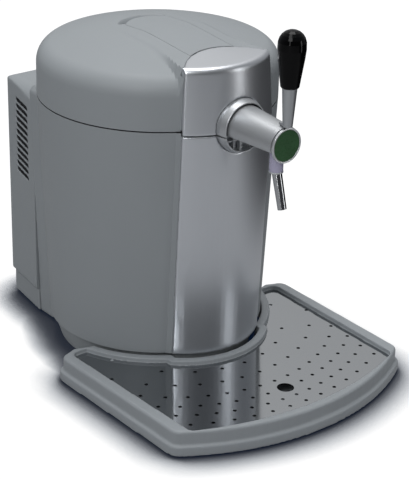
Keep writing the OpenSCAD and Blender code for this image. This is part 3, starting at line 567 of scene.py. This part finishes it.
# What the object sees of the floor, along X: pale on the left and under it, dark far to the right.
FLOOR_FADE = (0.28, 0.62)
FLOOR_FIELD = [(0.0, (0.38, 0.385, 0.395)), (1.0, (0.02, 0.02, 0.022))]

# What the camera sees of it, by how open the floor is at a point: dark at the object, white in the open.
FLOOR_CURVE = [(0.54, (0.0, 0.004, 0.015)), (0.70, (0.06, 0.068, 0.085)),
               (0.86, (0.48, 0.50, 0.53)), (0.97, (1, 1, 1))]

# The room: bright overhead and away from the camera, darker towards it.
ROOM_TOWARD = Vector((0.3, 0.5, 0.81)).normalized()
ROOM_FIELD = [(0.38, (0.06, 0.062, 0.067)), (0.85, (0.37, 0.38, 0.395)), (0.98, (0.8, 0.8, 0.8))]


def floor_material():
    """A studio floor: white to the camera away from the object, with a contact shade and its shadow."""
    material, nodes, links, shader = new_material("floor_white")
    shader.inputs["Roughness"].default_value = 0.9
    shader.inputs["Specular IOR Level"].default_value = 0.0
    path = nodes.new("ShaderNodeLightPath")

    coords = nodes.new("ShaderNodeTexCoord")
    split = nodes.new("ShaderNodeSeparateXYZ")
    links.new(coords.outputs["Object"], split.inputs[0])
    field = color_ramp(nodes, FLOOR_FIELD, "EASE")
    links.new(map_range(nodes, links, split.outputs["X"], 0.0, 1.0, *FLOOR_FADE), field.inputs["Fac"])
    tone = nodes.new("ShaderNodeMix")
    tone.data_type = "RGBA"
    tone.inputs[MIX_B].default_value = (*FLOOR_SEEN, 1)
    links.new(field.outputs["Color"], tone.inputs[MIX_A])
    links.new(path.outputs["Is Camera Ray"], tone.inputs[0])
    links.new(tone.outputs[MIX_RESULT], shader.inputs["Base Color"])

    shade = nodes.new("ShaderNodeAmbientOcclusion")
    shade.samples = 16
    shade.inputs["Distance"].default_value = FLOOR_SHADE
    curve = color_ramp(nodes, FLOOR_CURVE)
    links.new(shade.outputs["AO"], curve.inputs["Fac"])
    glow = nodes.new("ShaderNodeEmission")
    links.new(curve.outputs["Color"], glow.inputs["Color"])
    seen = nodes.new("ShaderNodeMath")
    seen.operation = "MULTIPLY"
    seen.inputs[1].default_value = FLOOR_GLOW
    links.new(path.outputs["Is Camera Ray"], seen.inputs[0])
    links.new(seen.outputs[0], glow.inputs["Strength"])

    add = nodes.new("ShaderNodeAddShader")
    links.new(shader.outputs[0], add.inputs[0])
    links.new(glow.outputs[0], add.inputs[1])
    links.new(add.outputs[0], nodes["Material Output"].inputs["Surface"])
    return material


def make_floor():
    mesh = bpy.data.meshes.new("floor")
    grid = bmesh.new()
    bmesh.ops.create_grid(grid, x_segments=1, y_segments=1, size=FLOOR_SIZE)
    grid.to_mesh(mesh)
    grid.free()
    mesh.materials.append(floor_material())
    return link_object("floor", mesh)


def make_room():
    """Light from all round, and white where the camera looks past the floor."""
    world = bpy.data.worlds.new("world")
    bpy.context.scene.world = world
    world.use_nodes = True
    nodes = world.node_tree.nodes
    links = world.node_tree.links
    background = nodes["Background"]
    background.inputs["Strength"].default_value = 1.0

    coords = nodes.new("ShaderNodeTexCoord")
    toward = nodes.new("ShaderNodeVectorMath")
    toward.operation = "DOT_PRODUCT"
    toward.inputs[1].default_value = ROOM_TOWARD
    links.new(coords.outputs["Generated"], toward.inputs[0])
    half = nodes.new("ShaderNodeMath")
    half.operation = "MULTIPLY_ADD"
    half.inputs[1].default_value = 0.5
    half.inputs[2].default_value = 0.5
    links.new(toward.outputs["Value"], half.inputs[0])
    room = color_ramp(nodes, ROOM_FIELD)
    links.new(half.outputs[0], room.inputs["Fac"])

    path = nodes.new("ShaderNodeLightPath")
    white = nodes.new("ShaderNodeMix")
    white.data_type = "RGBA"
    white.inputs[MIX_B].default_value = (1, 1, 1, 1)
    links.new(room.outputs["Color"], white.inputs[MIX_A])
    links.new(path.outputs["Is Camera Ray"], white.inputs[0])
    links.new(white.outputs[MIX_RESULT], background.inputs["Color"])


def area_light(name, at, aim, size, size_y, power):
    data = bpy.data.lights.new(name, "AREA")
    data.shape = "RECTANGLE"
    data.size = size
    data.size_y = size_y
    data.energy = power
    ob = link_object(name, data)
    ob.location = at
    ob.rotation_euler = (Vector(aim) - Vector(at)).to_track_quat("-Z", "Y").to_euler()


floor = make_floor()
make_room()

# Each light's place, aim, width, height and power.
area_light("key", (-1.7, -1.0, 1.9), (0, 0, 0.25), 1.2, 1.2, 22.5)
area_light("overhead", (0.1, 0.2, 2.4), (0, 0, 0.3), 1.5, 1.5, 30)
area_light("strip", (0.86, -1.28, 0.45), (0, -0.09, 0.1), 0.2, 1.0, 2.7)
area_light("edge", (-1.3, -0.9, 0.7), (0, -0.05, 0.15), 0.1, 1.2, 2.5)

bpy.context.scene.view_settings.view_transform = "Standard"
